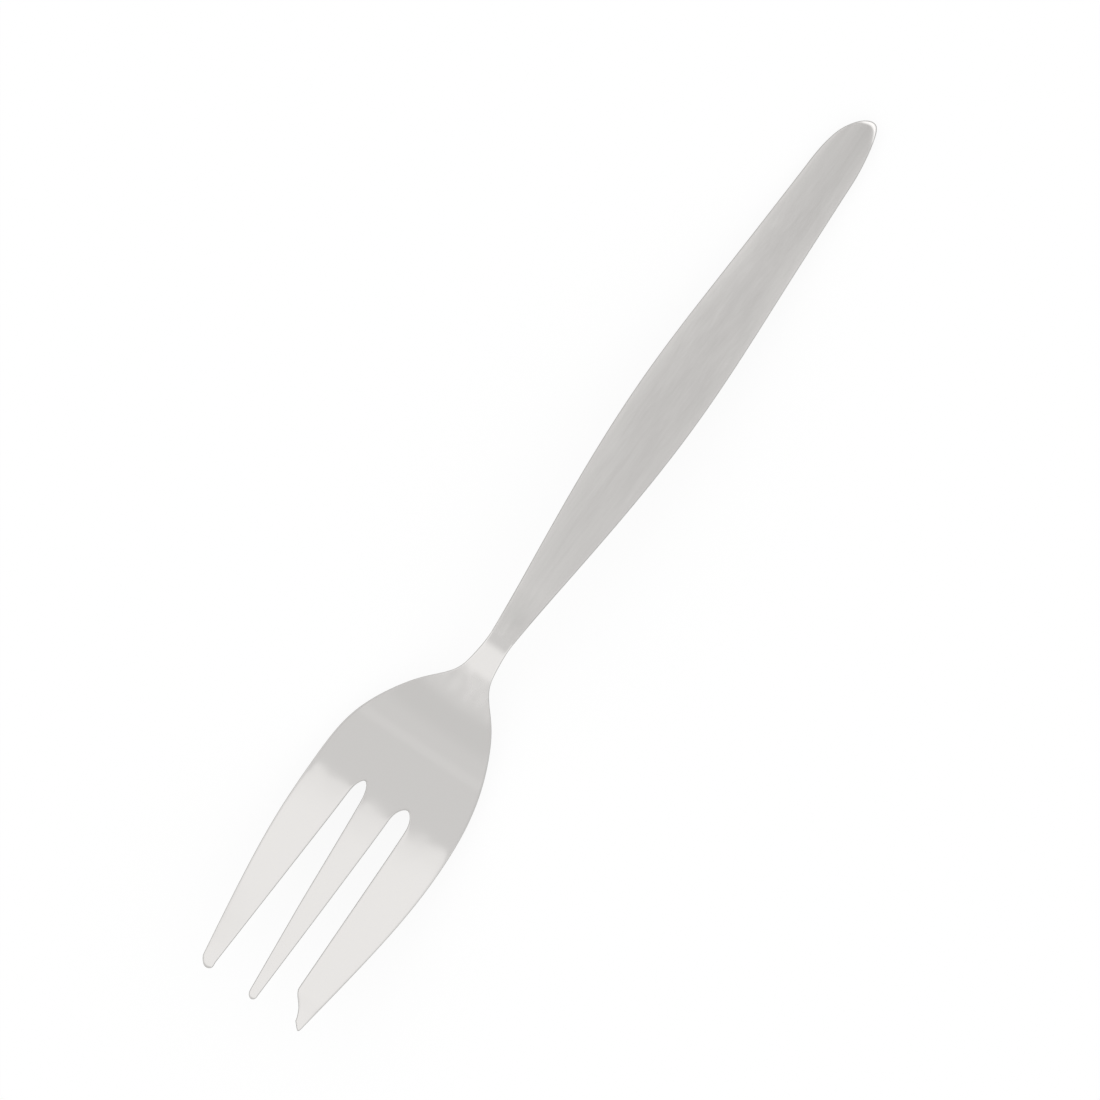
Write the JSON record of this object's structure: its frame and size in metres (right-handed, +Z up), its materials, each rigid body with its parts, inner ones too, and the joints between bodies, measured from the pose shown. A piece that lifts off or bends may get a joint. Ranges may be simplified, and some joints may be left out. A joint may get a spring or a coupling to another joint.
{
  "type": "pastry fork",
  "caption": "Pastry fork of stainless steel with a satin handle, a mirror polished head and one wide cutting tine with a hooked end.",
  "frame": {"origin": "middle of the fork's length and width, on the table it lies on", "axes": "+X along the fork from the tine tips to the handle end, +Y across it to the plain tine, +Z up from the table"},
  "size_m": [0.15, 0.0238, 0.0129],
  "materials": {
    "satin_steel": "brushed along its length",
    "polished_steel": "mirror polished"
  },
  "bodies": {
    "root": {"handle": "satin_steel", "head": "polished_steel", "plain_tine": "polished_steel", "middle_tine": "polished_steel", "cutting_tine": "polished_steel"}
  },
  "joints": []
}
